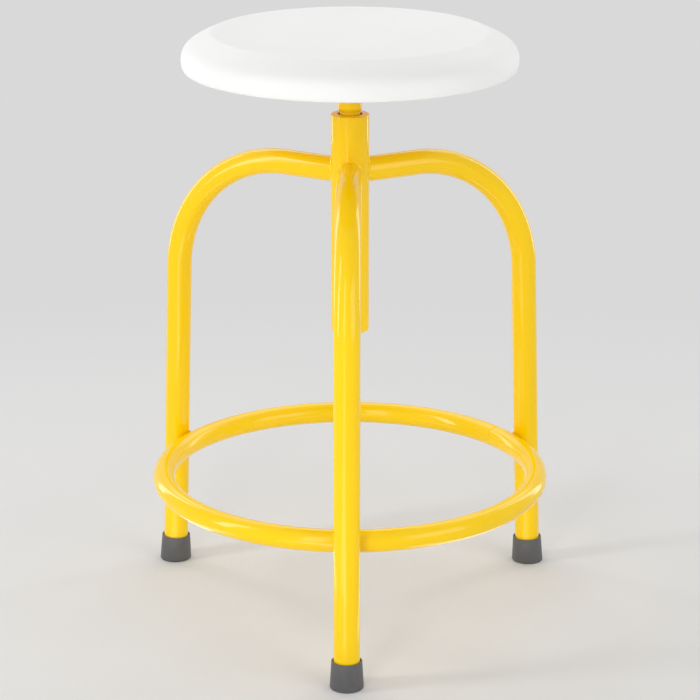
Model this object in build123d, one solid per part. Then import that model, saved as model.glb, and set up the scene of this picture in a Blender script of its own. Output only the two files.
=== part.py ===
from build123d import *
import os
from math import cos, degrees, floor, hypot, radians, sin, tan

# Adjustable stool: a moulded seat on a screwed spindle, in a frame of three bent tube legs.
# Millimetres. +Z is up, the floor is z 0, the spindle turns on the Z axis, and one leg points to -Y.

# Legs: a level run out of the hub, one bend, then a slightly splayed straight down to the floor
leg_names = ("front", "rear_right", "rear_left")
front_leg_angle = -90.0
leg_diameter = 25.4
leg_wall = 2.0
leg_drop = 58.0
leg_bend_radius = 130.0
leg_splay = 2.13
leg_circle_radius = 219.0

# Hub tube, with the spindle nut's flange closing its top
hub_diameter = 38.1
hub_wall = 3.0
hub_top = 514.0

# Foot ring, one tube bent round inside the legs and butt welded
ring_tube_diameter = 22.2
ring_wall = 1.8
ring_height = 138.9
ring_seam_angle = 36.0
ring_seam_gap = 1.2
ring_seam_proud = 0.25

# Welds between the frame tubes
weld_gap = 0.2
hub_weld_size = 2.6
hub_weld_land = 0.4
ring_weld_reach = 1.8

# Rubber ferrules, cut flat at the floor
foot_height = 27.5
foot_top_wall = 2.15
foot_flare = 1.6
foot_sole = 6.0
foot_fit = 0.05
foot_top_edge = 0.7
foot_base_edge = 1.5
foot_washer_thickness = 2.0

# Spindle screw and nut
spindle_diameter = 20.0
thread_pitch = 6.0
thread_depth = 2.0
thread_root_half_width = 1.0
thread_flank = 15.0
thread_clearance = 0.4
thread_overrun = 0.5
nut_length = 40.0
nut_flange_thickness = 3.0
nut_rim_edge = 1.0
nut_counterbore_room = 0.5
nut_counterbore_depth = 12.0
nut_relief_length = 7.0
nut_relief_depth = 0.3

# Travel of the seat from the height shown
seat_rise = 116.0
rise_clearance = 2.0
drop_clearance = 1.0

# Collar on the spindle, tapered at its lower end
collar_wall = 2.0
collar_length = 45.0
collar_gap = 3.0
collar_taper = 3.0
collar_end_land = 0.5

# Guide bush, stop washer and stop screw at the spindle's lower end
guide_length = 25.0
guide_play = 0.3
guide_chamfer = 1.0
journal_step = 1.0
stop_washer_room = 3.05
stop_washer_thickness = 3.0
stop_screw_diameter = 8.0
stop_screw_length = 20.0
stop_screw_head_width = 13.0
stop_screw_head_height = 5.3

# Plug in the hub's lower end
plug_length = 12.0
plug_cap = 3.0
plug_wall = 2.0
plug_fin_depth = 2.5
plug_fin_thickness = 1.4
plug_fin_count = 3
plug_clearance = 3.4

# Steel plate under the seat, its weld and its four screws into tee nuts
flange_thickness = 4.0
flange_margin = 15.0
flange_edge = 0.8
flange_weld_size = 4.0
flange_bolt_circle = 80.0
flange_screw_count = 4
flange_screw_diameter = 6.0
flange_screw_length = 16.0
flange_screw_head_width = 10.0
flange_screw_head_height = 4.0
flange_washer_diameter = 12.0
flange_washer_thickness = 1.6
tee_nut_rim = 5.0
tee_nut_flange = 1.5
tee_nut_wall = 0.95
tee_nut_depth = 9.0
screw_head_chamfer = 0.8

# Plywood board in the seat's underside
board_thickness = 12.0
board_gap = 0.5
board_edge = 1.0
board_recess = 6.0

# Moulded seat: outer form, wall and the ribs under its dish
seat_diameter = 330.0
seat_dish_room = 5.5
seat_lip_width = 3.3
seat_lip_rise = 10.0
seat_shoulder_width = 29.5
seat_fullness = 0.607
seat_dish_depth = 8.0
seat_dish_ease = 30.0
seat_dish_flat = 75.0
seat_wall = 4.0
seat_side_wall = 6.0
seat_rib = 3.0
seat_rib_count = 12
seat_rib_clearance = 9.5
seat_centre_rib_radius = 14.0
shell_screw_circle = 230.0
shell_screw_count = 6
shell_screw_diameter = 4.0
shell_screw_length = 20.0
shell_screw_head_diameter = 8.0
shell_screw_head_height = 2.6
shell_screw_head_edge = 1.2
shell_screw_slot = 1.0
shell_screw_slot_depth = 1.2
shell_boss_wall = 2.95
shell_pilot_spare = 1.0

# Fits: a running fit, a press fit, and the room round a screw in a hole
running_fit = 0.1
press_fit = 0.02
screw_fit = 0.05
hole_room = 0.3

# Radii worked out from the diameters
leg_radius = leg_diameter / 2
hub_radius = hub_diameter / 2
hub_bore = hub_radius - hub_wall
ring_tube_radius = ring_tube_diameter / 2
spindle_radius = spindle_diameter / 2
thread_root = spindle_radius - thread_depth
journal_radius = thread_root - journal_step
collar_radius = spindle_radius + collar_wall
foot_bore = leg_radius + foot_fit
foot_top_radius = foot_bore + foot_top_wall
foot_base_radius = foot_top_radius + foot_flare
tee_nut_bore = flange_screw_diameter / 2 + screw_fit
tee_nut_barrel = tee_nut_bore + tee_nut_wall
tee_nut_radius = tee_nut_barrel + tee_nut_rim
shell_pilot_radius = shell_screw_diameter / 2 + screw_fit
seat_radius = seat_diameter / 2
bolt_radius = flange_bolt_circle / 2

# Heights of the screwed column, from the hub's top up and down
hub_tube_top = hub_top - nut_flange_thickness
nut_bottom = hub_top - nut_length
counterbore_floor = hub_top - nut_counterbore_depth
seat_drop = collar_gap + nut_counterbore_depth - drop_clearance
collar_end = hub_top + collar_gap
flange_bottom = collar_end + collar_length
board_bottom = flange_bottom + flange_thickness
board_top = board_bottom + board_thickness
guide_top = nut_bottom - seat_rise - rise_clearance
guide_bottom = guide_top - guide_length
shoulder = guide_top + guide_play
spindle_end = guide_bottom - guide_play
stop_head_top = spindle_end - stop_washer_thickness
stop_head_bottom = stop_head_top - stop_screw_head_height
hub_bottom = stop_head_bottom - seat_drop - plug_clearance - plug_length

# Thread: the spindle's groove stops below the hub's top, so the shaft above it is plain
groove_start = shoulder - thread_pitch
groove_stop = counterbore_floor - nut_relief_length + seat_drop + thread_pitch / 2

# Seat heights and the leg line
seat_bottom = board_bottom - board_recess
seat_widest = seat_bottom + seat_lip_rise
seat_rim = board_top + seat_dish_room + seat_wall + seat_dish_depth
seat_crest_radius = seat_radius - seat_shoulder_width
seat_cavity_radius = seat_radius - seat_side_wall
leg_angles = {name: front_leg_angle + 360 * i / len(leg_names) for i, name in enumerate(leg_names)}
leg_level_height = hub_top - leg_drop
leg_slope = tan(radians(leg_splay))
leg_corner_radius = leg_circle_radius - leg_level_height * leg_slope
leg_end = foot_sole + foot_washer_thickness
ring_leg_radius = leg_circle_radius - ring_height * leg_slope
ring_radius = ring_leg_radius - (leg_radius + ring_tube_radius + weld_gap) / cos(radians(leg_splay))
ring_gap_degrees = degrees(ring_seam_gap / ring_radius)

upright = (Align.CENTER, Align.CENTER, Align.MIN)


def disc(radius, bottom, top):
    return Pos(0, 0, bottom) * Cylinder(radius, top - bottom, align=upright)


def tube(outer, inner, bottom, top):
    return disc(outer, bottom, top) - disc(inner, bottom, top)


def turned(*points):
    # Solid of revolution from an outline of (radius, height) points
    outline = make_face(Polyline(*points, close=True))
    return revolve(Plane.XZ * outline, Axis.Z)


def around(shape, count, radius):
    # Copies of a shape on a circle about the spindle
    return [Rot(0, 0, 360 * i / count) * Pos(radius, 0, 0) * shape for i in range(count)]


def group(shapes):
    return Compound(children=list(shapes))


def at_legs(shape):
    return {name: Rot(0, 0, angle) * shape for name, angle in leg_angles.items()}


# Legs, drawn along +X and turned to their angles
def leg_point(along):
    lean = radians(leg_splay)
    return (leg_circle_radius - along * sin(lean), 0, along * cos(lean))


leg_line = Plane(origin=leg_point(0), x_dir=(cos(radians(leg_splay)), 0, sin(radians(leg_splay))),
                 z_dir=(-sin(radians(leg_splay)), 0, cos(radians(leg_splay))))


def make_leg():
    path = FilletPolyline((0, 0, leg_level_height), (leg_corner_radius, 0, leg_level_height),
                          leg_point(leg_end), radius=leg_bend_radius)
    ring = Circle(leg_radius) - Circle(leg_radius - leg_wall)
    bent = sweep(Plane(origin=path @ 0, z_dir=path % 0) * ring, path=path)
    coped = disc(hub_radius + weld_gap, leg_level_height - leg_diameter, leg_level_height + leg_diameter)
    return bent - coped


def make_hub_weld():
    # Fillet weld round the leg's end, flat across its face
    reach = hub_radius + 2 * hub_weld_size
    low = leg_level_height - leg_diameter
    high = leg_level_height + leg_diameter
    level = Pos(0, 0, leg_level_height) * Rot(0, 90, 0)
    outside = level * Cylinder(leg_radius + hub_weld_size, reach, align=upright)
    outside = outside & disc(hub_radius + hub_weld_size, low, high)
    bead = outside - level * Cylinder(leg_radius, reach, align=upright) - disc(hub_radius, low, high)

    def on_outer_corner(edge):
        p = edge @ 0.5
        from_hub = hypot(p.X, p.Y) - hub_radius
        from_leg = hypot(p.Y, p.Z - leg_level_height) - leg_radius
        return min(from_hub, from_leg) > hub_weld_size / 2

    corner = [edge for edge in bead.edges() if on_outer_corner(edge)]
    return chamfer(corner, hub_weld_size - hub_weld_land)


def ring_section(outer, inner):
    section = Circle(outer) - Circle(inner)
    return Plane.XZ * Pos(ring_radius, ring_height) * section


def make_ring():
    section = ring_section(ring_tube_radius, ring_tube_radius - ring_wall)
    bent = revolve(section, Axis.Z, 360 - ring_gap_degrees)
    return Rot(0, 0, ring_seam_angle + ring_gap_degrees / 2) * bent


def make_ring_seam_weld():
    section = ring_section(ring_tube_radius + ring_seam_proud, ring_tube_radius - ring_wall)
    bead = revolve(section, Axis.Z, ring_gap_degrees)
    return Rot(0, 0, ring_seam_angle - ring_gap_degrees / 2) * bead


def make_ring_weld():
    # Weld that fills the crevice where the ring touches a leg
    low = ring_height - ring_tube_diameter
    length = 2 * ring_tube_diameter
    at_ring = Pos(0, 0, ring_height)
    straight = leg_line * Pos(0, 0, low)
    near_leg = straight * Cylinder(leg_radius + ring_weld_reach, length, align=upright)
    near_ring = at_ring * Torus(ring_radius, ring_tube_radius + ring_weld_reach)
    bead = near_leg & near_ring
    bead = bead - straight * Cylinder(leg_radius, length, align=upright)
    return bead - at_ring * Torus(ring_radius, ring_tube_radius)


# Feet, turned about the leg's line and cut flat at the floor
def make_foot():
    below = 2 * foot_base_radius * leg_slope
    base_below = foot_base_radius + foot_flare / foot_height * below
    body = turned((0, -below), (base_below, -below), (foot_top_radius, foot_height),
                  (foot_bore, foot_height), (foot_bore, foot_sole), (0, foot_sole))
    rim = body.edges().group_by(Axis.Z)[-1].sort_by(SortBy.RADIUS)[-1]
    body = leg_line * fillet(rim, foot_top_edge)
    room = 4 * foot_base_radius
    body = body & Pos(leg_circle_radius, 0, 0) * Box(room, room, 2 * foot_height, align=upright)
    return fillet(body.edges().group_by(Axis.Z)[0], foot_base_edge)


def make_foot_washer():
    return leg_line * disc(leg_radius, foot_sole, leg_end)


# Spindle screw: the groove of the spindle and the groove of the nut lie on one helix
def helical_cutter(inner, outer, inner_half, outer_half, start, stop):
    path = Helix(thread_pitch, stop - start, inner, center=(0, 0, start))
    outline = make_face(Polyline((inner, start - inner_half), (outer, start - outer_half),
                                 (outer, start + outer_half), (inner, start + inner_half), close=True))
    return sweep(Plane.XZ * outline, path=path, is_frenet=True)


def groove_half_width(radius):
    return thread_root_half_width + (radius - thread_root) * tan(radians(thread_flank))


def make_spindle():
    outer = spindle_radius + thread_overrun
    bar = disc(spindle_radius, shoulder, board_bottom) + disc(journal_radius, spindle_end, shoulder)
    tapped_top = stop_head_top + stop_screw_length + screw_fit
    tapped = disc(stop_screw_diameter / 2 + screw_fit, spindle_end, tapped_top)
    groove = helical_cutter(thread_root, outer, thread_root_half_width, groove_half_width(outer),
                            groove_start, groove_stop)
    return bar - groove - tapped


def make_nut():
    body = disc(hub_bore - press_fit, nut_bottom, hub_tube_top) + disc(hub_radius, hub_tube_top, hub_top)
    body = fillet(body.edges().group_by(Axis.Z)[-1], nut_rim_edge)
    inner = thread_root - thread_clearance
    outer = spindle_radius + thread_clearance
    ridge = thread_pitch / 2 + thread_clearance
    first = groove_start + thread_pitch / 2
    turns_below = floor((nut_bottom - first) / thread_pitch) - 1
    body = body - helical_cutter(inner, outer, ridge - groove_half_width(inner),
                                 ridge - groove_half_width(outer),
                                 first + turns_below * thread_pitch, counterbore_floor)
    body = body - disc(thread_root + thread_clearance, nut_bottom, counterbore_floor)
    body = body - disc(outer + nut_relief_depth, counterbore_floor - nut_relief_length, counterbore_floor)
    return body - disc(collar_radius + nut_counterbore_room, counterbore_floor, hub_top)


def make_collar():
    bore = spindle_radius + press_fit
    return turned((bore, collar_end), (bore + collar_end_land, collar_end),
                  (collar_radius, collar_end + collar_taper), (collar_radius, flange_bottom),
                  (bore, flange_bottom))


def make_guide():
    bush = tube(hub_bore - running_fit, journal_radius + running_fit, guide_bottom, guide_top)
    ends = bush.edges().group_by(Axis.Z)
    outer_ends = [ends[0].sort_by(SortBy.RADIUS)[-1], ends[-1].sort_by(SortBy.RADIUS)[-1]]
    return chamfer(outer_ends, guide_chamfer)


def hex_screw(diameter, length, head_width, head_height, seat):
    # Hexagon screw pointing up, its head under the height where it seats
    hexagon = RegularPolygon(head_width / 2, 6, major_radius=False)
    head = Pos(0, 0, seat - head_height) * extrude(hexagon, head_height)
    corner = head_width / (2 * cos(radians(30)))
    crown = turned((0, seat - head_height), (corner - screw_head_chamfer, seat - head_height),
                   (corner, seat - head_height + screw_head_chamfer), (corner, seat), (0, seat))
    return (head & crown) + disc(diameter / 2, seat, seat + length)


def make_plug():
    skirt = hub_bore - plug_fin_depth
    cap_top = hub_bottom + plug_cap
    body = disc(hub_bore - running_fit, hub_bottom, cap_top)
    body = body + tube(skirt, skirt - plug_wall, cap_top, hub_bottom + plug_length)
    room = plug_length - plug_cap
    pitch = room / plug_fin_count
    for i in range(plug_fin_count):
        fin_top = cap_top + pitch * (i + 1)
        fin_bottom = fin_top - plug_fin_thickness
        body = body + tube(hub_bore - running_fit, skirt - plug_wall / 2, fin_bottom, fin_top)
    return body


# Seat plate, board and shell
def make_flange():
    plate = disc(bolt_radius + flange_margin, flange_bottom, board_bottom)
    plate = chamfer(plate.edges().filter_by(GeomType.CIRCLE), flange_edge)
    plate = plate - disc(spindle_radius + press_fit, flange_bottom, board_bottom)
    hole = disc(flange_screw_diameter / 2 + hole_room, flange_bottom, board_bottom)
    return plate - around(hole, flange_screw_count, bolt_radius)


def make_flange_weld():
    return turned((collar_radius, flange_bottom - flange_weld_size),
                  (collar_radius + flange_weld_size, flange_bottom), (collar_radius, flange_bottom))


def make_flange_screw():
    seat = flange_bottom - flange_washer_thickness
    return hex_screw(flange_screw_diameter, flange_screw_length, flange_screw_head_width,
                     flange_screw_head_height, seat)


def make_flange_washer():
    return tube(flange_washer_diameter / 2, flange_screw_diameter / 2 + hole_room,
                flange_bottom - flange_washer_thickness, flange_bottom)


def make_tee_nut():
    barrel = disc(tee_nut_barrel, board_top - tee_nut_depth, board_top)
    flange = disc(tee_nut_radius, board_top, board_top + tee_nut_flange)
    return barrel + flange - disc(tee_nut_bore, board_top - tee_nut_depth, board_top + tee_nut_flange)


def make_board():
    board = disc(seat_cavity_radius - board_gap, board_bottom, board_top)
    board = chamfer(board.edges().filter_by(GeomType.CIRCLE), board_edge)
    nut_hole = disc(tee_nut_barrel + screw_fit, board_bottom, board_top)
    screw_hole = disc(shell_screw_diameter / 2 + hole_room, board_bottom, board_top)
    board = board - around(nut_hole, flange_screw_count, bolt_radius)
    return board - around(screw_hole, shell_screw_count, shell_screw_circle / 2)


def make_shell_screw():
    # Pan head with a crossed slot, under the board
    low = board_bottom - shell_screw_head_height
    head = disc(shell_screw_head_diameter / 2, low, board_bottom)
    head = fillet(head.edges().group_by(Axis.Z)[0], shell_screw_head_edge)
    slot_length = shell_screw_head_diameter - 2 * shell_screw_head_edge
    slot = Pos(0, 0, low) * Box(slot_length, shell_screw_slot, shell_screw_slot_depth, align=upright)
    head = head - slot - Rot(0, 0, 90) * slot
    return head + disc(shell_screw_diameter / 2, board_bottom, board_bottom + shell_screw_length)


def quarter(start, end, upward):
    # Full quarter curve between two points, leaving the first one upward or level
    (r0, z0), (r1, z1) = start, end
    f = seat_fullness
    if upward:
        return Bezier(start, (r0, z0 + f * (z1 - z0)), (r1 + (1 - f) * (r0 - r1), z1), end)
    return Bezier(start, (r0 + f * (r1 - r0), z0), (r1, z1 - f * (z1 - z0)), end)


def dished(rim):
    floor_height = rim - seat_dish_depth
    return Bezier((seat_crest_radius, rim), (seat_crest_radius - seat_dish_ease, rim),
                  (seat_dish_flat, floor_height), (0, floor_height))


def make_seat_outside():
    foot_of_lip = (seat_radius - seat_lip_width, seat_bottom)
    widest = (seat_radius, seat_widest)
    crest = (seat_crest_radius, seat_rim)
    dish = dished(seat_rim)
    closing = Polyline(dish @ 1, (0, seat_bottom), foot_of_lip)
    outline = [quarter(foot_of_lip, widest, False), quarter(widest, crest, True), dish, closing]
    return revolve(Plane.XZ * make_face(outline), Axis.Z)


def make_seat_cavity():
    side = (seat_cavity_radius, board_top)
    inner_rim = seat_rim - seat_wall
    dish = dished(inner_rim)
    closing = Polyline(dish @ 1, (0, seat_bottom), (seat_cavity_radius, seat_bottom), side)
    outline = [quarter(side, (seat_crest_radius, inner_rim), True), dish, closing]
    return revolve(Plane.XZ * make_face(outline), Axis.Z)


def make_shell():
    def rib_ring(radius):
        return tube(radius + seat_rib / 2, radius - seat_rib / 2, board_top, seat_rim)

    inner_ring = bolt_radius + tee_nut_radius + seat_rib_clearance + seat_rib / 2
    spoke_length = seat_radius - inner_ring
    spoke = Pos(0, 0, board_top) * Box(spoke_length, seat_rib, seat_rim - board_top,
                                       align=(Align.MIN, Align.CENTER, Align.MIN))
    boss = disc(shell_pilot_radius + shell_boss_wall, board_top, seat_rim)
    pilot_top = board_bottom + shell_screw_length + shell_pilot_spare
    pilot = disc(shell_pilot_radius, board_top, pilot_top)
    ribs = [rib_ring(seat_centre_rib_radius), rib_ring(inner_ring), rib_ring(shell_screw_circle / 2)]
    ribs += around(spoke, seat_rib_count, inner_ring)
    ribs += around(boss, shell_screw_count, shell_screw_circle / 2)
    hollow = make_seat_cavity() - ribs
    return make_seat_outside() - hollow - around(pilot, shell_screw_count, shell_screw_circle / 2)


# Every node of the stool by name
legs = at_legs(make_leg())
feet = at_legs(make_foot())
nodes = {f"leg_{name}": shape for name, shape in legs.items()}
nodes.update({f"foot_{name}": shape for name, shape in feet.items()})
nodes["foot_washers"] = group(at_legs(make_foot_washer()).values())
nodes["hub_tube"] = tube(hub_radius, hub_bore, hub_bottom, hub_tube_top)
nodes["hub_welds"] = group(at_legs(make_hub_weld()).values())
nodes["hub_plug"] = make_plug()
nodes["foot_ring"] = make_ring()
nodes["ring_seam_weld"] = make_ring_seam_weld()
nodes["ring_welds"] = group(at_legs(make_ring_weld()).values())
nodes["spindle_nut"] = make_nut()
nodes["spindle"] = make_spindle()
nodes["spindle_collar"] = make_collar()
nodes["guide_bush"] = make_guide()
nodes["stop_washer"] = tube(hub_bore - stop_washer_room, stop_screw_diameter / 2 + hole_room,
                            stop_head_top, spindle_end)
nodes["stop_screw"] = hex_screw(stop_screw_diameter, stop_screw_length, stop_screw_head_width,
                                stop_screw_head_height, stop_head_top)
nodes["seat_flange"] = make_flange()
nodes["flange_weld"] = make_flange_weld()
nodes["flange_screws"] = group(around(make_flange_screw(), flange_screw_count, bolt_radius))
nodes["flange_washers"] = group(around(make_flange_washer(), flange_screw_count, bolt_radius))
nodes["tee_nuts"] = group(around(make_tee_nut(), flange_screw_count, bolt_radius))
nodes["seat_board"] = make_board()
nodes["shell_screws"] = group(around(make_shell_screw(), shell_screw_count, shell_screw_circle / 2))
nodes["seat_shell"] = make_shell()

os.makedirs("parts", exist_ok=True)
for name, shape in nodes.items():
    export_step(shape, f"parts/{name}.step")
print(f"{len(nodes)} nodes, seat rim {seat_rim:.1f}, hub {hub_bottom:.1f} to {hub_top:.1f}")
print(f"ring radius {ring_radius:.1f}")
print(f"seat travel -{seat_drop:.1f} to +{seat_rise:.1f}, turns -{seat_drop / thread_pitch:.2f} to "
      f"+{seat_rise / thread_pitch:.2f}")
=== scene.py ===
import math

import bmesh
import bpy
from mathutils import Matrix, Vector
from mathutils.geometry import interpolate_bezier


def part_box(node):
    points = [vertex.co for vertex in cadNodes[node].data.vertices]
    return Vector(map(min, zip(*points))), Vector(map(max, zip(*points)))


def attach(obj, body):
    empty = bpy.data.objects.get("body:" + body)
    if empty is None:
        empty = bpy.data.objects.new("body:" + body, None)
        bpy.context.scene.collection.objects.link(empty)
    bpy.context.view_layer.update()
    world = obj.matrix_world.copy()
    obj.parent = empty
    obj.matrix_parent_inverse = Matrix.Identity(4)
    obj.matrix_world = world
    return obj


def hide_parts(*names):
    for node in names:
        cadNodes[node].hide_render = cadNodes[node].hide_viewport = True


# Adjustable stool: a white moulded seat on a screw spindle, in a yellow frame of bent tube
# The pieces' dictionaries are in millimetres, degrees and shares of a size
# The studio's dictionaries and the meshes are in metres

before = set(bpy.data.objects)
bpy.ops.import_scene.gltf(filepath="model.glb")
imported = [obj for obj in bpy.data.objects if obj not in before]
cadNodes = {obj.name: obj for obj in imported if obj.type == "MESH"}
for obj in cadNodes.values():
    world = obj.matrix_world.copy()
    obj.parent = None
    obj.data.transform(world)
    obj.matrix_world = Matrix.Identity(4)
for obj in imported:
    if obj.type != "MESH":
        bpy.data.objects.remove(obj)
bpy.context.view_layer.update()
mm = 0.001
sameSpot = 1e-6  # metres: nearer than this is the same point, or on the same plane
sharpAngle = math.radians(40)  # an edge that turns more than this stays crisp
print("frame loaded:", len(cadNodes), "nodes")

# Colour sockets of a Mix node, by number, since its other sockets have the same names
mixFirst, mixSecond, mixResult = 6, 7, 2
cloudSpan = (0.3, 0.7)  # nearly all of a noise texture lies between these


# Small helpers for nodes and colours
def hexColour(code):
    channels = [int(code[i:i + 2], 16) / 255 for i in (1, 3, 5)]
    linear = [c / 12.92 if c <= 0.04045 else ((c + 0.055) / 1.055) ** 2.4 for c in channels]
    return (*linear, 1.0)


def setInputs(tree, node, inputs):
    # A socket is linked and a value is set, by the input's name or number
    for key, value in inputs.items():
        if isinstance(value, bpy.types.NodeSocket):
            tree.links.new(value, node.inputs[key])
        else:
            node.inputs[key].default_value = value


def addNode(tree, kind, settings=None, inputs=None):
    node = tree.nodes.new(kind)
    for name, value in (settings or {}).items():
        setattr(node, name, value)
    setInputs(tree, node, inputs or {})
    return node


def newMaterial(name):
    material = bpy.data.materials.new(name)
    material.use_nodes = True
    tree = material.node_tree
    place = addNode(tree, "ShaderNodeTexCoord").outputs["Object"]
    return material, tree, tree.nodes["Principled BSDF"], place


def perMetre(millimetres):
    return 1 / (millimetres * mm)


def waveScale(period):
    # At a scale of 1 a wave texture turns 20 radians a metre
    return 2 * math.pi * perMetre(period) / 20


def cloudedTones(tree, place, recipe):
    # A colour that drifts between two tones in slow clouds
    cloud = addNode(tree, "ShaderNodeTexNoise", None,
                    {"Vector": place, "Scale": perMetre(recipe["cloud"]), "Detail": recipe["cloudDetail"]})
    colour = addNode(tree, "ShaderNodeMix", {"data_type": "RGBA"},
                     {"Factor": cloud.outputs["Fac"], mixFirst: hexColour(recipe["tones"][0]),
                      mixSecond: hexColour(recipe["tones"][1])})
    return cloud.outputs["Fac"], colour.outputs[mixResult]


# Gloss polyester powder coat baked on steel: one even strong colour, a soft ripple
# in the highlights where the powder flowed out, and a little more body in thick places
powderCoat = {"tones": ("#F8CC00", "#FBD100"), "cloud": 70.0, "cloudDetail": 2.0,
              "ripple": 6.0, "rippleDetail": 1.0, "rippleHeight": 0.006, "bump": 0.5,
              "roughness": (0.13, 0.18), "ior": 1.5, "specular": 0.36}


def makePowderCoat():
    material, tree, shader, place = newMaterial("gloss_yellow_powder_coat")
    cloud, colour = cloudedTones(tree, place, powderCoat)
    gloss = addNode(tree, "ShaderNodeMapRange", None,
                    {"Value": cloud, "From Min": cloudSpan[0], "From Max": cloudSpan[1],
                     "To Min": powderCoat["roughness"][0], "To Max": powderCoat["roughness"][1]})
    ripple = addNode(tree, "ShaderNodeTexNoise", None,
                     {"Vector": place, "Scale": perMetre(powderCoat["ripple"]),
                      "Detail": powderCoat["rippleDetail"]})
    relief = addNode(tree, "ShaderNodeBump", None,
                     {"Height": ripple.outputs["Fac"], "Strength": powderCoat["bump"],
                      "Distance": powderCoat["rippleHeight"] * mm})
    setInputs(tree, shader, {"Base Color": colour, "Roughness": gloss.outputs["Result"],
                             "Normal": relief.outputs["Normal"], "IOR": powderCoat["ior"],
                             "Specular IOR Level": powderCoat["specular"]})
    return material


# White polypropylene, injection moulded in a fine eroded tool: near white, half gloss,
# with slow sink waves and a fine grain, which is drawn coarser than it is so that it shows
seatPlastic = {"tones": ("#EEEEED", "#EBEBEA"), "cloud": 90.0, "cloudDetail": 3.0,
               "grain": 0.9, "grainDetail": 2.0, "grainHeight": 0.006,
               "sink": 45.0, "sinkDetail": 0.0, "sinkHeight": 0.03, "bump": 0.5,
               "roughness": (0.5, 0.58), "ior": 1.49}


def makeSeatPlastic():
    material, tree, shader, place = newMaterial("white_moulded_polypropylene")
    cloud, colour = cloudedTones(tree, place, seatPlastic)
    gloss = addNode(tree, "ShaderNodeMapRange", None,
                    {"Value": cloud, "From Min": cloudSpan[0], "From Max": cloudSpan[1],
                     "To Min": seatPlastic["roughness"][0], "To Max": seatPlastic["roughness"][1]})
    sink = addNode(tree, "ShaderNodeTexNoise", None,
                   {"Vector": place, "Scale": perMetre(seatPlastic["sink"]),
                    "Detail": seatPlastic["sinkDetail"]})
    waves = addNode(tree, "ShaderNodeBump", None,
                    {"Height": sink.outputs["Fac"], "Strength": seatPlastic["bump"],
                     "Distance": seatPlastic["sinkHeight"] * mm})
    grain = addNode(tree, "ShaderNodeTexNoise", None,
                    {"Vector": place, "Scale": perMetre(seatPlastic["grain"]),
                     "Detail": seatPlastic["grainDetail"]})
    relief = addNode(tree, "ShaderNodeBump", None,  # the grain lies on the waves
                     {"Height": grain.outputs["Fac"], "Strength": seatPlastic["bump"],
                      "Distance": seatPlastic["grainHeight"] * mm, "Normal": waves.outputs["Normal"]})
    setInputs(tree, shader, {"Base Color": colour, "Roughness": gloss.outputs["Result"],
                             "Normal": relief.outputs["Normal"], "IOR": seatPlastic["ior"]})
    return material


# Grey natural rubber, compression moulded: dull, slightly chalky, with a fine pebble,
# which is drawn coarser than it is so that it shows
footRubber = {"tones": ("#515052", "#616061"), "cloud": 6.0, "cloudDetail": 5.0,
              "pebble": 0.8, "pebbleHeight": 0.03, "bump": 0.4, "roughness": (0.45, 0.6), "ior": 1.52}


def makeFootRubber():
    material, tree, shader, place = newMaterial("grey_moulded_rubber")
    cloud, colour = cloudedTones(tree, place, footRubber)
    dull = addNode(tree, "ShaderNodeMapRange", None,
                   {"Value": cloud, "From Min": cloudSpan[0], "From Max": cloudSpan[1],
                    "To Min": footRubber["roughness"][0], "To Max": footRubber["roughness"][1]})
    pebble = addNode(tree, "ShaderNodeTexVoronoi", None,
                     {"Vector": place, "Scale": perMetre(footRubber["pebble"])})
    relief = addNode(tree, "ShaderNodeBump", None,
                     {"Height": pebble.outputs["Distance"], "Strength": footRubber["bump"],
                      "Distance": footRubber["pebbleHeight"] * mm})
    setInputs(tree, shader, {"Base Color": colour, "Roughness": dull.outputs["Result"],
                             "Normal": relief.outputs["Normal"], "IOR": footRubber["ior"]})
    return material


# Steel, turned or pressed, then bright zinc plated: cool grey metal with faint clouds,
# and scratches that are drawn coarser than they are so that they show
zincPlate = {"tones": ("#B4B7BB", "#D3D5D8"), "cloud": 9.0, "cloudDetail": 4.0,
             "scratch": 0.35, "scratchDetail": 2.0, "scratchHeight": 0.004, "bump": 0.4,
             "roughness": (0.24, 0.4)}


def makeZincPlate():
    material, tree, shader, place = newMaterial("bright_zinc_plated_steel")
    cloud, colour = cloudedTones(tree, place, zincPlate)
    gloss = addNode(tree, "ShaderNodeMapRange", None,
                    {"Value": cloud, "From Min": cloudSpan[0], "From Max": cloudSpan[1],
                     "To Min": zincPlate["roughness"][0], "To Max": zincPlate["roughness"][1]})
    scratch = addNode(tree, "ShaderNodeTexNoise", None,
                      {"Vector": place, "Scale": perMetre(zincPlate["scratch"]),
                       "Detail": zincPlate["scratchDetail"]})
    relief = addNode(tree, "ShaderNodeBump", None,
                     {"Height": scratch.outputs["Fac"], "Strength": zincPlate["bump"],
                      "Distance": zincPlate["scratchHeight"] * mm})
    setInputs(tree, shader, {"Base Color": colour, "Roughness": gloss.outputs["Result"],
                             "Normal": relief.outputs["Normal"], "Metallic": 1.0})
    return material


# Spindle: the coat ends below the hub's top, and the greased thread under it is bare steel
spindleSteel = {"tones": ("#7D7A70", "#A9A8A4"), "cloud": 12.0, "cloudDetail": 4.0,
                "coatEnd": 508.0, "coatFade": 1.2, "coatRoughness": 0.22, "steelRoughness": 0.36}


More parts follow.
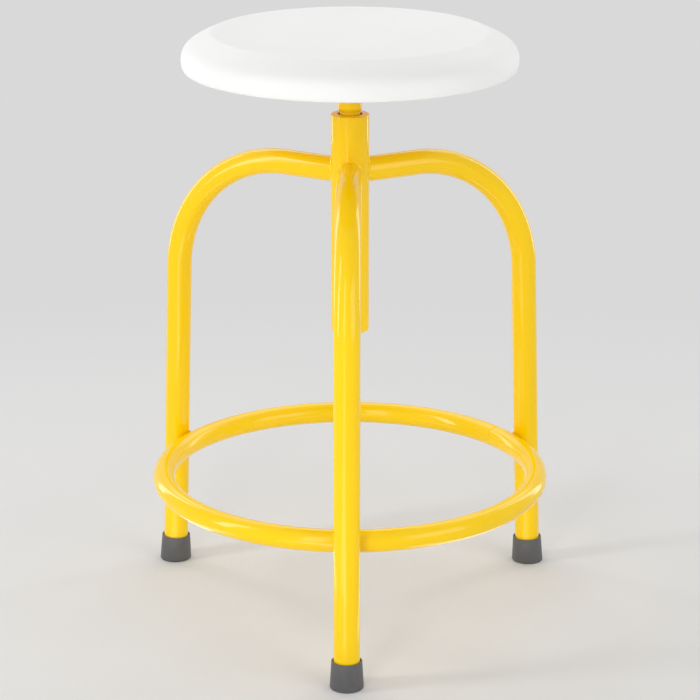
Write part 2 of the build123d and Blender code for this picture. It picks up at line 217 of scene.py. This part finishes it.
def makeSpindleSteel():
    material, tree, shader, place = newMaterial("steel_screw_with_coated_top")
    height = addNode(tree, "ShaderNodeSeparateXYZ", None, {"Vector": place}).outputs["Z"]
    coatEnd, fade = spindleSteel["coatEnd"], spindleSteel["coatFade"]
    coated = addNode(tree, "ShaderNodeMapRange", {"interpolation_type": "SMOOTHSTEP"},
                     {"Value": height, "From Min": (coatEnd - fade) * mm,
                      "From Max": (coatEnd + fade) * mm}).outputs["Result"]
    bare = cloudedTones(tree, place, spindleSteel)[1]
    colour = addNode(tree, "ShaderNodeMix", {"data_type": "RGBA"},
                     {"Factor": coated, mixFirst: bare, mixSecond: hexColour(powderCoat["tones"][1])})
    metal = addNode(tree, "ShaderNodeMath", {"operation": "SUBTRACT"}, {0: 1.0, 1: coated})
    gloss = addNode(tree, "ShaderNodeMapRange", None,
                    {"Value": coated, "To Min": spindleSteel["steelRoughness"],
                     "To Max": spindleSteel["coatRoughness"]})
    setInputs(tree, shader, {"Base Color": colour.outputs[mixResult], "Metallic": metal.outputs["Value"],
                             "Roughness": gloss.outputs["Result"]})
    return material


# Natural nylon, turned from bar: milky, waxy, with the tool's rings drawn coarse enough to show
turnedNylon = {"tones": ("#D5CFBA", "#E4E0D0"), "cloud": 8.0, "cloudDetail": 3.0,
               "ring": 5.03, "ringHeight": 0.01, "bump": 0.5, "roughness": 0.42, "ior": 1.53}


def makeTurnedNylon():
    material, tree, shader, place = newMaterial("turned_natural_nylon")
    colour = cloudedTones(tree, place, turnedNylon)[1]
    rings = addNode(tree, "ShaderNodeTexWave", {"wave_type": "BANDS", "bands_direction": "Z"},
                    {"Vector": place, "Scale": waveScale(turnedNylon["ring"])})
    relief = addNode(tree, "ShaderNodeBump", None,
                     {"Height": rings.outputs["Fac"], "Strength": turnedNylon["bump"],
                      "Distance": turnedNylon["ringHeight"] * mm})
    setInputs(tree, shader, {"Base Color": colour, "Normal": relief.outputs["Normal"],
                             "Roughness": turnedNylon["roughness"], "IOR": turnedNylon["ior"]})
    return material


# Black polyethylene, moulded: dark, waxy and slightly scuffed
blackPlug = {"tones": ("#161617", "#2A2A2B"), "cloud": 5.0, "cloudDetail": 6.0, "roughness": 0.48,
             "ior": 1.51}


def makeBlackPlug():
    material, tree, shader, place = newMaterial("black_moulded_polyethylene")
    colour = cloudedTones(tree, place, blackPlug)[1]
    setInputs(tree, shader, {"Base Color": colour, "Roughness": blackPlug["roughness"],
                             "IOR": blackPlug["ior"]})
    return material


# Birch plywood, rotary cut and sealed: pale, with long soft flames of grain,
# and fibres that are drawn coarser than they are so that they show
birchPly = {"pale": "#E3CBA3", "grain": "#CDAB7C", "pore": "#B58F62", "stretch": 14.0,
            "flame": 213.63, "flameBend": 9.0, "flameDetail": 2.0, "flameDetailScale": 0.6,
            "fibre": 0.9, "fibreDetail": 4.0, "fibreHeight": 0.03, "poreSpan": (0.55, 0.75),
            "bump": 0.4, "roughness": 0.5, "ior": 1.5}


def makeBirchPly():
    material, tree, shader, place = newMaterial("sealed_birch_plywood")
    along = addNode(tree, "ShaderNodeMapping", None,
                    {"Vector": place, "Scale": (1 / birchPly["stretch"], 1.0, 1.0)}).outputs["Vector"]
    flame = addNode(tree, "ShaderNodeTexWave", {"wave_type": "BANDS", "bands_direction": "Y"},
                    {"Vector": along, "Scale": waveScale(birchPly["flame"]),
                     "Distortion": birchPly["flameBend"], "Detail": birchPly["flameDetail"],
                     "Detail Scale": birchPly["flameDetailScale"]})
    fibre = addNode(tree, "ShaderNodeTexNoise", None,
                    {"Vector": along, "Scale": perMetre(birchPly["fibre"]),
                     "Detail": birchPly["fibreDetail"]})
    body = addNode(tree, "ShaderNodeMix", {"data_type": "RGBA"},
                   {"Factor": flame.outputs["Fac"], mixFirst: hexColour(birchPly["grain"]),
                    mixSecond: hexColour(birchPly["pale"])})
    streak = addNode(tree, "ShaderNodeMapRange", None,
                     {"Value": fibre.outputs["Fac"], "From Min": birchPly["poreSpan"][0],
                      "From Max": birchPly["poreSpan"][1]})
    colour = addNode(tree, "ShaderNodeMix", {"data_type": "RGBA"},
                     {"Factor": streak.outputs["Result"], mixFirst: body.outputs[mixResult],
                      mixSecond: hexColour(birchPly["pore"])})
    relief = addNode(tree, "ShaderNodeBump", None,
                     {"Height": fibre.outputs["Fac"], "Strength": birchPly["bump"],
                      "Distance": birchPly["fibreHeight"] * mm})
    setInputs(tree, shader, {"Base Color": colour.outputs[mixResult], "Normal": relief.outputs["Normal"],
                             "Roughness": birchPly["roughness"], "IOR": birchPly["ior"]})
    return material


paint = makePowderCoat()
whitePlastic = makeSeatPlastic()
greyRubber = makeFootRubber()
zinc = makeZincPlate()
screwSteel = makeSpindleSteel()
nylon = makeTurnedNylon()
plugPlastic = makeBlackPlug()
plywood = makeBirchPly()
print("materials made")


# Modelling helpers
def onlyVerts(geom):
    return [g for g in geom if isinstance(g, bmesh.types.BMVert)]


def onlyEdges(geom):
    return [g for g in geom if isinstance(g, bmesh.types.BMEdge)]


def allOf(bm):
    return bm.verts[:] + bm.edges[:] + bm.faces[:]


def closed(bm):
    # Points that meet become one, and the faces point outwards
    bmesh.ops.remove_doubles(bm, verts=bm.verts[:], dist=sameSpot)
    bmesh.ops.recalc_face_normals(bm, faces=bm.faces[:])
    return bm


def spun(outline, steps=96):
    # Solid of revolution about Z, from an outline of (radius, height)
    bm = bmesh.new()
    points = [bm.verts.new((r * mm, 0, z * mm)) for r, z in outline]
    lines = [bm.edges.new(pair) for pair in zip(points, points[1:])]
    if outline[0][0] > 0:
        lines.append(bm.edges.new((points[-1], points[0])))
    bmesh.ops.spin(bm, geom=points + lines, cent=(0, 0, 0), axis=(0, 0, 1), dvec=(0, 0, 0),
                   angle=2 * math.pi, steps=steps, use_merge=True, use_duplicate=False)
    return closed(bm)


def roundEdges(bm, width, corners, segments=3):
    bmesh.ops.bevel(bm, geom=corners, offset=width * mm, offset_type="OFFSET", segments=segments,
                    profile=0.5, affect="EDGES", material=-1, clamp_overlap=True)


def turned(bm, angle):
    # Turned about the stool's axis
    bmesh.ops.rotate(bm, verts=bm.verts[:], cent=(0, 0, 0),
                     matrix=Matrix.Rotation(math.radians(angle), 3, "Z"))
    return bm


def joinInto(parts, bm):
    mesh = bpy.data.meshes.new("joined")
    bm.to_mesh(mesh)
    bm.free()
    parts.from_mesh(mesh)
    bpy.data.meshes.remove(mesh)


def addPiece(name, bm, material, body, slotName, *replaced):
    mesh = bpy.data.meshes.new(name)
    bm.to_mesh(mesh)
    bm.free()
    mesh.polygons.foreach_set("use_smooth", [True] * len(mesh.polygons))
    mesh.set_sharp_from_angle(angle=sharpAngle)
    mesh.materials.append(material)
    piece = bpy.data.objects.new(name, mesh)
    bpy.context.scene.collection.objects.link(piece)
    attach(piece, body)
    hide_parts(*replaced)


def dress(material, *names):
    # A CAD node whose shape is right keeps it and gets the finish
    for name in names:
        cadNodes[name].data.materials.clear()
        cadNodes[name].data.materials.append(material)


# Frame tubes
hubLow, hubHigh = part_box("hub_tube")
hub = {"radius": hubHigh.x / mm, "wall": 3.0, "bottom": hubLow.z / mm, "top": hubHigh.z / mm,
       "edge": 0.6, "support": 2.0}
leg = {"radius": 12.7, "level": 456.0, "bend": 130.0, "splay": 2.13, "floorCircle": 219.0, "end": 8.0,
       "sides": 64, "bendSteps": 48, "sunk": 0.5, "copeShares": (0.7, 0.6, 0.4)}
weld = {"size": 1.5, "sink": 0.6, "steps": 8}
legAngles = {"front": -90.0, "rear_right": 30.0, "rear_left": 150.0}


def makeHub():
    bore = hub["radius"] - hub["wall"]
    bm = spun([(bore, hub["bottom"]), (hub["radius"], hub["bottom"]), (hub["radius"], hub["top"]),
               (bore, hub["top"])])
    support = (hub["bottom"] + hub["support"]) * mm
    lower = [e for e in bm.edges if e.calc_face_angle() > sharpAngle
             and max(v.co.z for v in e.verts) < support]
    roundEdges(bm, hub["edge"], lower)  # the top is flush with the nut's flange
    # A loop near the rounded edge keeps the shading of the long sides straight
    bmesh.ops.bisect_plane(bm, geom=allOf(bm), plane_co=(0, 0, support), plane_no=(0, 0, 1))
    return bm


def makeHubWelds():
    # One hollow fillet round each leg's end, tangent to the leg and to the hub
    arc = [math.pi / 2 * k / weld["steps"] for k in range(weld["steps"] + 1)]
    section = [(weld["size"] * (1 - math.sin(a)), weld["size"] * (1 - math.cos(a))) for a in arc]
    section.append((-weld["sink"], -weld["sink"]))
    parts = bmesh.new()
    for angle in legAngles.values():
        bm = bmesh.new()
        bmesh.ops.create_circle(bm, segments=leg["sides"], radius=leg["radius"] * mm)
        rounds = [math.atan2(v.co.y, v.co.x) for v in bm.verts]
        loops = [bm.edges[:]]
        loopVerts = bm.verts[:]
        for step, (out, up) in enumerate(section):
            if step:
                grown = bmesh.ops.extrude_edge_only(bm, edges=loops[-1])["geom"]
                loopVerts = onlyVerts(grown)
                loops.append(onlyEdges(grown))
            for v, turn in zip(loopVerts, rounds):
                y = (leg["radius"] + out) * math.cos(turn)
                z = leg["level"] + (leg["radius"] + out) * math.sin(turn)
                v.co = Vector((math.sqrt((hub["radius"] + up) ** 2 - y ** 2), y, z)) * mm
        bmesh.ops.bridge_loops(bm, edges=loops[0] + loops[-1])
        bmesh.ops.recalc_face_normals(bm, faces=bm.faces[:])
        joinInto(parts, turned(bm, angle))
    return parts


def copedX(y):
    # Just inside the hub's outer face
    return math.sqrt((hub["radius"] * mm) ** 2 - y ** 2) - leg["sunk"] * mm


def makeLeg(angle):
    # Level run, one bend and the splayed straight, drawn along +X and then turned to its place
    bm = bmesh.new()
    lean = math.radians(leg["splay"])
    turn = math.pi / 2 - lean
    corner = leg["floorCircle"] - leg["level"] * math.tan(lean)
    bendStart = corner - leg["bend"] * math.tan(turn / 2)
    level = leg["level"] * mm
    facing = Matrix.Translation((0, 0, level)) @ Matrix.Rotation(math.pi / 2, 4, "Y")
    bmesh.ops.create_circle(bm, segments=leg["sides"], radius=leg["radius"] * mm, matrix=facing)
    first = bm.verts[:]
    run = bmesh.ops.extrude_edge_only(bm, edges=bm.edges[:])["geom"]
    bmesh.ops.translate(bm, verts=onlyVerts(run), vec=(bendStart * mm, 0, 0))
    for v in first:  # the end is coped to the hub
        v.co.x = copedX(v.co.y)
    centre = (bendStart * mm, 0, (leg["level"] - leg["bend"]) * mm)
    last = bmesh.ops.spin(bm, geom=onlyEdges(run), cent=centre, axis=(0, 1, 0), dvec=(0, 0, 0),
                          angle=turn, steps=leg["bendSteps"], use_merge=False,
                          use_duplicate=False)["geom_last"]
    down = bmesh.ops.extrude_edge_only(bm, edges=onlyEdges(last))["geom"]
    bendEnd = leg["level"] - leg["bend"] * (1 - math.sin(lean))
    drop = (bendEnd - leg["end"]) * mm
    bmesh.ops.translate(bm, verts=onlyVerts(down), vec=(drop * math.tan(lean), 0, -drop))
    cope = [e for e in bm.edges if e.is_boundary and e.verts[0] in first]
    for share in leg["copeShares"]:  # the end face follows the hub's wall, clear of its bore
        grown = bmesh.ops.extrude_edge_only(bm, edges=cope)["geom"]
        cope = onlyEdges(grown)
        for v in onlyVerts(grown):
            v.co.y *= share
            v.co.z = level + (v.co.z - level) * share
            v.co.x = copedX(v.co.y)
    bmesh.ops.holes_fill(bm, edges=[e for e in bm.edges if e.is_boundary], sides=0)
    return turned(closed(bm), angle)


addPiece("hub_tube_steel", makeHub(), paint, "frame", "frame_paint", "hub_tube")
for name, angle in legAngles.items():
    addPiece(f"leg_{name}_tube", makeLeg(angle), paint, "frame", "frame_paint", f"leg_{name}")
addPiece("hub_weld_fillets", makeHubWelds(), paint, "frame", "frame_paint", "hub_welds")
print("hub and legs modelled")


# Foot ring, one bent tube with its butt weld, drawn with the joint on +X and then turned
ringLow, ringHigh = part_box("foot_ring")
ring = {"tube": (ringHigh.z - ringLow.z) / 2 / mm, "outer": 200.9, "sides": 48, "steps": 192,
        "seamAngle": 36.0, "seamWidth": 1.7, "seamDepth": 0.8, "beadWidth": 1.2, "beadDepth": 0.6}
ringMiddle = Vector(((ring["outer"] - ring["tube"]) * mm, 0, (ringLow.z + ringHigh.z) / 2))
ringUpright = Matrix.Translation(ringMiddle) @ Matrix.Rotation(math.pi / 2, 4, "X")


def makeRing():
    bm = bmesh.new()
    bmesh.ops.create_circle(bm, segments=ring["sides"], radius=ring["tube"] * mm, matrix=ringUpright)
    bmesh.ops.spin(bm, geom=bm.verts[:] + bm.edges[:], cent=(0, 0, 0), axis=(0, 0, 1), dvec=(0, 0, 0),
                   angle=2 * math.pi, steps=ring["steps"], use_merge=True, use_duplicate=False)
    closed(bm)
    joint = [e for e in bm.edges if all(abs(v.co.y) < sameSpot and v.co.x > 0 for v in e.verts)]
    roundEdges(bm, ring["seamWidth"] / 2, joint, segments=2)
    sunk = [v for v in bm.verts if abs(v.co.y) < sameSpot and v.co.x > 0]
    share = 1 - ring["seamDepth"] / ring["tube"]
    bmesh.ops.scale(bm, verts=sunk, vec=(share, 1, share), space=Matrix.Translation(-ringMiddle))
    return turned(bm, ring["seamAngle"])


def makeRingSeam():
    # The butt weld, ground back until it lies at the bottom of a fine groove
    bm = bmesh.new()
    radius = (ring["tube"] - ring["beadDepth"]) * mm
    bmesh.ops.create_cone(bm, cap_ends=True, segments=ring["sides"], radius1=radius, radius2=radius,
                          depth=ring["beadWidth"] * mm, matrix=ringUpright)
    return turned(bm, ring["seamAngle"])


addPiece("foot_ring_tube", makeRing(), paint, "frame", "frame_paint", "foot_ring")
addPiece("foot_ring_seam", makeRingSeam(), paint, "frame", "frame_paint", "ring_seam_weld")
print("foot ring modelled")


# Rubber ferrules, turned about the leg's line and cut flat at the floor
ferrule = {"height": 27.5, "top": 14.9, "base": 16.5, "bore": 12.75, "sole": 6.0, "below": 2.0,
           "topEdge": 0.6, "topSteps": 4, "baseEdge": 1.7, "baseSteps": 5, "mouthWidth": 0.7,
           "mouthDepth": 1.8}


def makeFerrule(angle):
    flare = (ferrule["base"] - ferrule["top"]) / ferrule["height"]
    baseBelow = ferrule["base"] + flare * ferrule["below"]
    bm = spun([(0, -ferrule["below"]), (baseBelow, -ferrule["below"]),
               (ferrule["top"], ferrule["height"]),
               (ferrule["bore"] + ferrule["mouthWidth"], ferrule["height"]),
               (ferrule["bore"], ferrule["height"] - ferrule["mouthDepth"]),
               (ferrule["bore"], ferrule["sole"]), (0, ferrule["sole"])])
    inMouth = (ferrule["height"] - ferrule["mouthDepth"] / 2) * mm
    rim = [e for e in bm.edges if e.is_manifold and e.calc_face_angle() > sharpAngle
           and min(v.co.z for v in e.verts) > inMouth]
    roundEdges(bm, ferrule["topEdge"], rim, ferrule["topSteps"])
    out = Matrix.Translation((leg["floorCircle"] * mm, 0, 0))
    lean = Matrix.Rotation(math.radians(-leg["splay"]), 4, "Y")
    bmesh.ops.transform(bm, matrix=out @ lean, verts=bm.verts[:])
    cut = bmesh.ops.bisect_plane(bm, geom=allOf(bm), plane_co=(0, 0, 0), plane_no=(0, 0, -1),
                                 clear_outer=True)["geom_cut"]
    bmesh.ops.holes_fill(bm, edges=onlyEdges(cut), sides=0)
    floorEdges = [e for e in bm.edges if max(abs(v.co.z) for v in e.verts) < sameSpot]
    roundEdges(bm, ferrule["baseEdge"], floorEdges, ferrule["baseSteps"])
    bmesh.ops.recalc_face_normals(bm, faces=bm.faces[:])
    return turned(bm, angle)


for name, angle in legAngles.items():
    addPiece(f"foot_{name}_rubber", makeFerrule(angle), greyRubber, "frame", "foot_rubber", f"foot_{name}")
print("feet modelled")


# Seat: the outer form, the lip and the hollow that takes the board
seat = {"radius": 165.0, "bottom": 560.0, "rim": 595.5, "shoulder": 29.5, "shoulderReach": 0.46,
        "shoulderSlope": 27.0, "fullness": 0.607, "lipWidth": 3.3, "lipRise": 10.0, "lipEdge": 0.8,
        "dishDepth": 8.0, "dishEase": 30.0, "dishFlat": 75.0, "dishSlope": 14.0,
        "crestRound": 3.0, "crestLift": 0.46, "crestPull": 2 / 3,
        "wall": 4.0, "sideWall": 6.0, "boardTop": 578.0, "steps": 192,
        "dishPoints": 60, "shoulderPoints": 40, "crestPoints": 10, "lipPoints": 10, "insidePoints": 14}
seatCrest = seat["radius"] - seat["shoulder"]  # radius of the rim's top


def fullQuarter(start, end, upward):
    # Full quarter curve, leaving the first point upward or level
    (r0, z0), (r1, z1) = start, end
    f = seat["fullness"]
    if upward:
        return start, (r0, z0 + f * (z1 - z0)), (r1 + (1 - f) * (r0 - r1), z1), end
    return start, (r0 + f * (r1 - r0), z0), (r1, z1 - f * (z1 - z0)), end


def curvePoints(knots, count):
    corner = [Vector((r, z, 0)) for r, z in knots]
    return [(p.x, p.y) for p in interpolate_bezier(*corner, count)]


def dishCurve(rim):
    # The dish's underside, which comes up level to the rim
    floor = rim - seat["dishDepth"]
    return (0, floor), (seat["dishFlat"], floor), (seatCrest - seat["dishEase"], rim), (seatCrest, rim)


def makeCrest():
    # Dish, rim and shoulder: the dish comes up to the rim at a slope, and the shoulder
    # leaves it at a slope, so that a small round makes a clear line along the rim
    rim = seat["rim"] + seat["crestLift"]
    floor = seat["rim"] - seat["dishDepth"]
    rise = seat["dishEase"] * math.tan(math.radians(seat["dishSlope"]))
    dish = [(0, floor), (seat["dishFlat"], floor), (seatCrest - seat["dishEase"], rim - rise),
            (seatCrest, rim)]
    side, widest = seat["radius"], seat["bottom"] + seat["lipRise"]
    reach = seat["shoulderReach"] * seat["shoulder"]
    fall = reach * math.tan(math.radians(seat["shoulderSlope"]))
    shoulder = [(seatCrest, rim), (seatCrest + reach, rim - fall),
                (side, widest + seat["fullness"] * (rim - widest)), (side, widest)]
    inward = [p for p in curvePoints(dish, seat["dishPoints"]) if p[0] < seatCrest - seat["crestRound"]]
    outward = [p for p in curvePoints(shoulder, seat["shoulderPoints"])
               if p[0] > seatCrest + seat["crestRound"]]
    near, far = inward[-1], outward[0]
    pull = seat["crestPull"]
    handles = [(r + (seatCrest - r) * pull, z + (rim - z) * pull) for r, z in (near, far)]
    return inward + curvePoints([near, *handles, far], seat["crestPoints"])[1:-1] + outward


def makeSeat():
    lip = (seat["radius"] - seat["lipWidth"], seat["bottom"])
    widest = (seat["radius"], seat["bottom"] + seat["lipRise"])
    inner = seat["radius"] - seat["sideWall"]
    ceiling = seat["rim"] - seat["wall"]
    under = fullQuarter((inner, seat["boardTop"]), (seatCrest, ceiling), True)
    outside = makeCrest()
    outside += curvePoints(fullQuarter(lip, widest, False), seat["lipPoints"])[::-1][1:]
    inside = [(inner + seat["lipEdge"], seat["bottom"]), (inner, seat["bottom"] + seat["lipEdge"])]
    inside += curvePoints(under, seat["insidePoints"])
    inside += curvePoints(dishCurve(ceiling), seat["insidePoints"])[::-1][1:]
    return spun(outside + inside, seat["steps"])


addPiece("seat_shell_moulding", makeSeat(), whitePlastic, "seat", "seat_plastic", "seat_shell")
print("seat modelled")


# Spindle: a square-cut screw on one helix with the nut, a plain coated top and a turned journal
screwLow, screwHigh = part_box("spindle")
screw = {"radius": screwHigh.x / mm, "depth": 2.0, "pitch": 6.0, "rootHalf": 1.0, "flank": 15.0,
         "edge": 0.25, "edgeInset": 0.05, "shoulder": 356.3, "threadTop": 511.0, "journal": 7.0,
         "hole": 4.1, "holeTop": 347.8, "turnSteps": 64}


def makeScrew():
    bm = bmesh.new()
    radius, root, edge = screw["radius"], screw["radius"] - screw["depth"], screw["edge"]
    mouthHalf = screw["rootHalf"] + screw["depth"] * math.tan(math.radians(screw["flank"]))
    half = [(root, 0), (root, screw["rootHalf"]), (radius - edge, mouthHalf - screw["edgeInset"]),
            (radius, mouthHalf + edge), (radius, screw["pitch"] / 2)]
    section = [(r, -z) for r, z in half[:0:-1]] + half
    first = screw["shoulder"] - screw["pitch"]  # the groove's height on the +X side
    points = [bm.verts.new((r * mm, 0, (first + z) * mm)) for r, z in section]
    lines = [bm.edges.new(pair) for pair in zip(points, points[1:])]
    climb = (0, 0, screw["pitch"] / screw["turnSteps"] * mm)
    bmesh.ops.spin(bm, geom=points + lines, cent=(0, 0, 0), axis=(0, 0, 1), dvec=climb,
                   angle=2 * math.pi, steps=screw["turnSteps"], use_merge=False, use_duplicate=False)
    turn = allOf(bm)
    turns = math.ceil((screw["threadTop"] - first) / screw["pitch"]) + 1
    for step in range(1, turns):
        copy = bmesh.ops.duplicate(bm, geom=turn)["geom"]
        bmesh.ops.translate(bm, verts=onlyVerts(copy), vec=(0, 0, step * screw["pitch"] * mm))
    bmesh.ops.remove_doubles(bm, verts=bm.verts[:], dist=sameSpot)
    for height, away in ((screw["shoulder"], -1), (screw["threadTop"], 1)):
        cut = bmesh.ops.bisect_plane(bm, geom=allOf(bm), dist=sameSpot, plane_co=(0, 0, height * mm),
                                     plane_no=(0, 0, away), clear_outer=True)["geom_cut"]
        bmesh.ops.holes_fill(bm, edges=onlyEdges(cut), sides=0)
    bmesh.ops.recalc_face_normals(bm, faces=bm.faces[:])
    return bm


def makeSpindle():
    end, top = screwLow.z / mm, screwHigh.z / mm
    journal = [(0, screw["shoulder"]), (screw["journal"], screw["shoulder"]), (screw["journal"], end),
               (screw["hole"], end), (screw["hole"], screw["holeTop"]), (0, screw["holeTop"])]
    plain = [(0, screw["threadTop"]), (screw["radius"], screw["threadTop"]), (screw["radius"], top),
             (0, top)]
    parts = makeScrew()
    for outline in (journal, plain):
        joinInto(parts, spun(outline, screw["turnSteps"]))
    return parts


addPiece("spindle_screw", makeSpindle(), screwSteel, "seat", "frame_paint", "spindle")
print("spindle modelled")

# Pieces that keep their own solids
dress(paint, "ring_welds", "spindle_nut", "spindle_collar", "seat_flange", "flange_weld")
dress(zinc, "foot_washers", "stop_washer", "stop_screw", "flange_screws", "flange_washers", "tee_nuts",
      "shell_screws")
dress(nylon, "guide_bush")
dress(plugPlastic, "hub_plug")
dress(plywood, "seat_board")

# Studio: pale floor, soft boxes and an even pale surround
studio = {"floorRadius": 20.0, "floorSides": 64, "floorColour": "#D8D8D8", "floorRoughness": 0.9,
          "floorSpecular": 0.1, "litNear": 0.45, "litFar": 1.25, "backdrop": "#D9D9D9", "surround": 0.57}
softBoxes = {
    "side_softbox": {"place": (-1.5, -0.5, 0.98), "aim": (0, 0, 0.75), "size": (0.28, 1.5), "power": 9.0},
    "front_softbox": {"place": (-0.5, -1.45, 0.98), "aim": (0, 0, 0.7), "size": (0.36, 1.4), "power": 5.0},
    # Strips that lie near the floor and face up, for the streaks along the legs
    "floor_strip": {"place": (-0.38, -1.2, 0.03), "aim": (0, 0.05, 40), "size": (0.26, 1.55),
                    "power": 2.95},
    "near_strip": {"place": (-0.07, -0.47, 0.012), "aim": (0.2, 0.53, 80), "size": (0.06, 0.32),
                   "power": 0.13},
    "left_strip": {"place": (-0.232, -0.07, 0.012), "aim": (0, 0.93, 80), "size": (0.07, 0.27),
                   "power": 0.09},
    "right_strip": {"place": (0.145, -0.07, 0.012), "aim": (0.394, 0.93, 80), "size": (0.06, 0.27),
                    "power": 0.07},
    # From the right, from behind and from above
    "fill_softbox": {"place": (1.6, -1.3, 0.98), "aim": (0, 0, 0.65), "size": (1.3, 1.4), "power": 12.0},
    "back_left_strip": {"place": (-1.25, 1.05, 0.8), "aim": (0, 0, 0.8), "size": (0.3, 1.5), "power": 4.6},
    "back_right_strip": {"place": (1.25, 1.05, 0.8), "aim": (0, 0, 0.8), "size": (0.3, 1.5), "power": 4.6},
    "top_softbox": {"place": (0.0, 1.75, 2.0), "aim": (0, 0, 0.55), "size": (2.8, 1.5), "power": 18.0},
}


def seenRay(tree):
    # 1 where the camera, a reflection or a clear piece looks at the backdrop
    ray = addNode(tree, "ShaderNodeLightPath").outputs
    seen = addNode(tree, "ShaderNodeMath", {"operation": "MAXIMUM"},
                   {0: ray["Is Camera Ray"], 1: ray["Is Glossy Ray"]})
    clear = addNode(tree, "ShaderNodeMath", {"operation": "MAXIMUM"},
                    {0: seen.outputs["Value"], 1: ray["Is Transmission Ray"]})
    return clear.outputs["Value"]


def makeFloor():
    # Lit and shadowed round the stool, fading into the even backdrop further out
    bm = bmesh.new()
    bmesh.ops.create_circle(bm, cap_ends=True, segments=studio["floorSides"], radius=studio["floorRadius"])
    mesh = bpy.data.meshes.new("studio_floor")
    bm.to_mesh(mesh)
    bm.free()
    material, tree, shader, place = newMaterial("pale_studio_floor")
    setInputs(tree, shader, {"Base Color": hexColour(studio["floorColour"]),
                             "Roughness": studio["floorRoughness"],
                             "Specular IOR Level": studio["floorSpecular"]})
    away = addNode(tree, "ShaderNodeVectorMath", {"operation": "LENGTH"}, {0: place})
    far = addNode(tree, "ShaderNodeMapRange", {"interpolation_type": "SMOOTHSTEP"},
                  {"Value": away.outputs["Value"], "From Min": studio["litNear"],
                   "From Max": studio["litFar"]})
    share = addNode(tree, "ShaderNodeMath", {"operation": "MULTIPLY"},
                    {0: far.outputs["Result"], 1: seenRay(tree)})
    even = addNode(tree, "ShaderNodeEmission", None,
                   {"Color": hexColour(studio["backdrop"]), "Strength": 1.0})
    mixed = addNode(tree, "ShaderNodeMixShader", None,
                    {"Fac": share.outputs["Value"], 1: shader.outputs["BSDF"],
                     2: even.outputs["Emission"]})
    setInputs(tree, tree.nodes["Material Output"], {"Surface": mixed.outputs["Shader"]})
    mesh.materials.append(material)
    floor = bpy.data.objects.new("studio_floor", mesh)
    bpy.context.scene.collection.objects.link(floor)


def addSoftBox(name, place, aim, size, power):
    lamp = bpy.data.lights.new(name, "AREA")
    lamp.shape = "RECTANGLE"
    lamp.size, lamp.size_y = size
    lamp.energy = power
    box = bpy.data.objects.new(name, lamp)
    box.location = place
    box.visible_camera = False
    box.rotation_euler = (Vector(aim) - Vector(place)).to_track_quat("-Z", "Y").to_euler()
    bpy.context.scene.collection.objects.link(box)


def makeSurround():
    world = bpy.data.worlds.new("pale_surround")
    bpy.context.scene.world = world
    world.use_nodes = True
    tree = world.node_tree
    tint = addNode(tree, "ShaderNodeMix", {"data_type": "RGBA"},
                   {"Factor": seenRay(tree), mixFirst: (studio["surround"],) * 3 + (1.0,),
                    mixSecond: hexColour(studio["backdrop"])})
    setInputs(tree, tree.nodes["Background"], {"Color": tint.outputs[mixResult]})


makeFloor()
makeSurround()
for name, box in softBoxes.items():
    addSoftBox(name, **box)

# Camera at the photograph's place: long lens, looking down at the stool
# The distance and height are in metres, and the focal length is in pixels of the picture
view = {"distance": 2.557, "height": 1.0832, "azimuth": 0.8077, "pitch": 17.6364, "focal": 2657.04,
        "pixels": 700, "sensor": 36.0}
around = math.radians(view["azimuth"])
lens = bpy.data.cameras.new("photo_camera")
lens.sensor_width = view["sensor"]
lens.lens = view["focal"] / view["pixels"] * view["sensor"]
camera = bpy.data.objects.new("photo_camera", lens)
camera.location = (view["distance"] * math.sin(around), -view["distance"] * math.cos(around),
                   view["height"])
camera.rotation_euler = (math.radians(90 - view["pitch"]), 0, around)
bpy.context.scene.collection.objects.link(camera)
bpy.context.scene.camera = camera
bpy.context.scene.view_settings.view_transform = "Standard"
print("studio and camera set")
